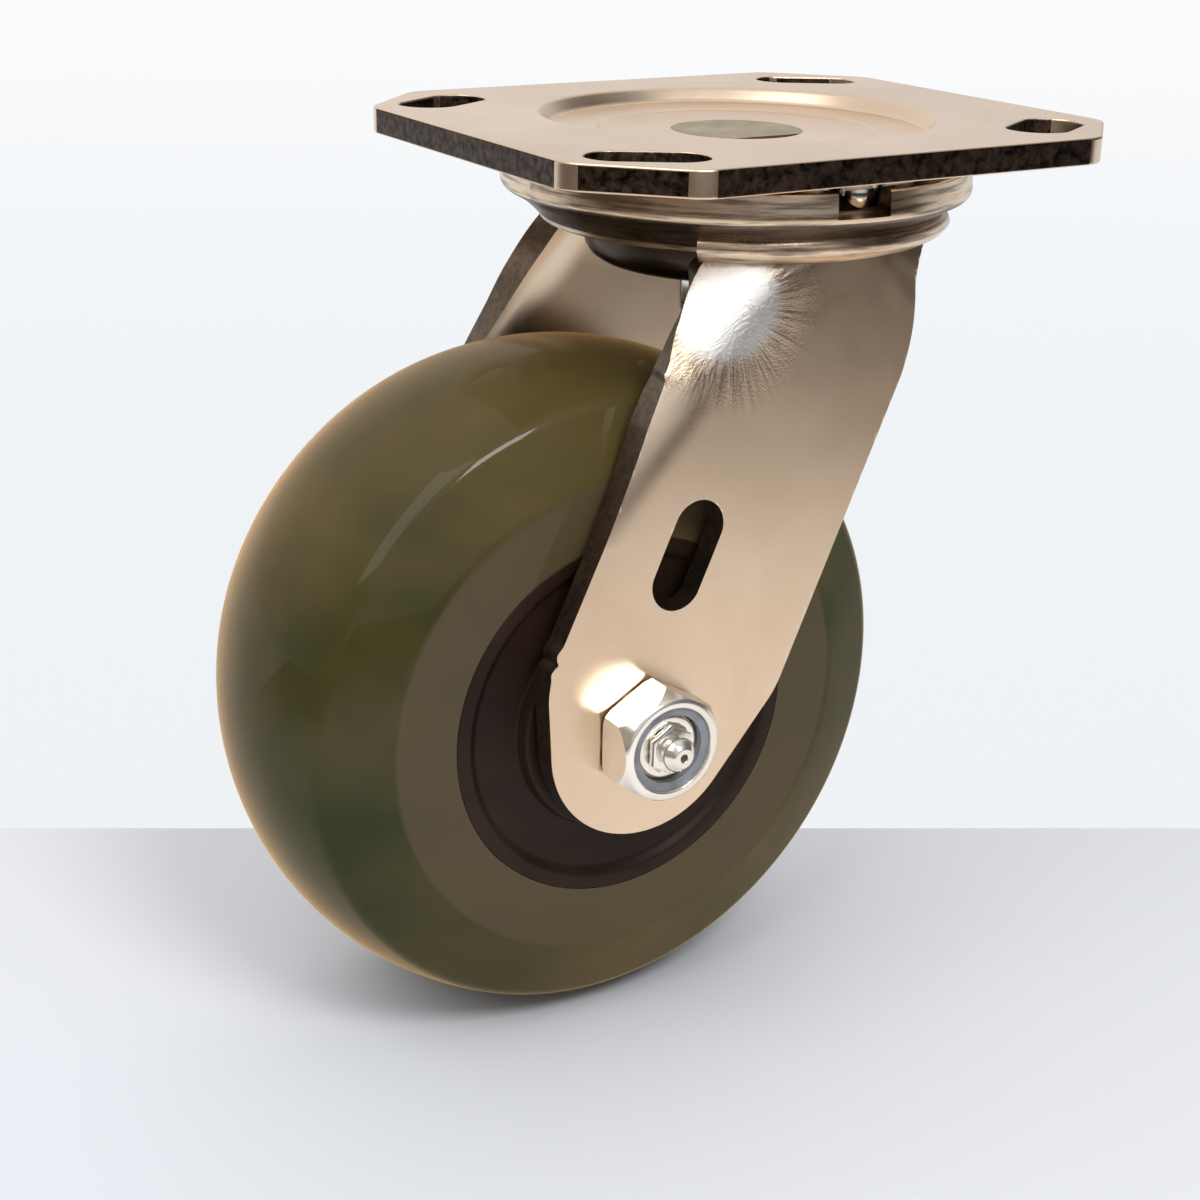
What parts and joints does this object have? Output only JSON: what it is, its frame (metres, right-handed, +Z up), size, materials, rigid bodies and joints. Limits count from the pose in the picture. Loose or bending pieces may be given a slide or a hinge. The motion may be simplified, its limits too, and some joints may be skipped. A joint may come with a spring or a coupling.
{
  "type": "top plate castor",
  "caption": "Swivel castor: a slotted top plate, a pressed fork turning on two ball races, and a wide crowned wheel on a roller bearing.",
  "frame": {"origin": "middle of the top plate's mounting face, on the swivel axis", "axes": "+Z up out of the plate, along the swivel axis; X along the plate's long side, with the wheel trailing towards -X; Y along the axle"},
  "size_m": [0.159, 0.1016, 0.1651],
  "materials": {
    "plated_steel": "bright zinc plate",
    "kingpin_steel": "satin",
    "race_steel": "dark, hardened",
    "ball_steel": "polished",
    "bright_steel": "bright zinc plate",
    "fitting_brass": "yellow plate",
    "lock_nylon": "satin",
    "core_plastic": "satin",
    "tyre_polyurethane": "glossy",
    "seal_rubber": "matt"
  },
  "bodies": {
    "plate": {"top_plate": "plated_steel", "kingpin": "kingpin_steel", "lower_race": "race_steel", "kingpin_washer": "bright_steel", "kingpin_nut": "bright_steel"},
    "upper_ball_ring": {"upper_balls": "ball_steel"},
    "lower_ball_ring": {"lower_balls": "ball_steel"},
    "fork": {"fork": "plated_steel", "swivel_grease_fitting": "fitting_brass", "axle_bolt": "bright_steel", "axle_nut": "bright_steel", "nut_lock_ring": "lock_nylon", "axle_grease_fitting": "bright_steel", "axle_sleeve": "bright_steel", "thrust_washers": "bright_steel"},
    "roller_set": {"bearing_rollers": "ball_steel", "roller_cage": "bright_steel"},
    "wheel": {"wheel_core": "core_plastic", "tyre": "tyre_polyurethane", "bearing_race": "bright_steel", "bearing_seals": "seal_rubber"}
  },
  "joints": [
    {"name": "swivel", "type": "hinge", "parent": "plate", "child": "fork", "pos_m": [0, 0, 0], "axis": [0, 0, 1], "continuous": true},
    {"name": "upper_ball_orbit", "type": "hinge", "parent": "plate", "child": "upper_ball_ring", "pos_m": [0, 0, -0.00858], "axis": [0, 0, 1], "continuous": true},
    {"name": "lower_ball_orbit", "type": "hinge", "parent": "plate", "child": "lower_ball_ring", "pos_m": [0, 0, -0.01838], "axis": [0, 0, 1], "continuous": true},
    {"name": "wheel_spin", "type": "hinge", "parent": "fork", "child": "wheel", "pos_m": [-0.0384, 0, -0.1016], "axis": [0, 1, 0], "continuous": true},
    {"name": "roller_orbit", "type": "hinge", "parent": "fork", "child": "roller_set", "pos_m": [-0.0384, 0, -0.1016], "axis": [0, 1, 0], "continuous": true}
  ],
  "couplings": [
    {"joint": "upper_ball_orbit", "follows": "swivel", "ratio": 0.5},
    {"joint": "lower_ball_orbit", "follows": "swivel", "ratio": 0.5},
    {"joint": "roller_orbit", "follows": "wheel_spin", "ratio": 0.6013}
  ]
}
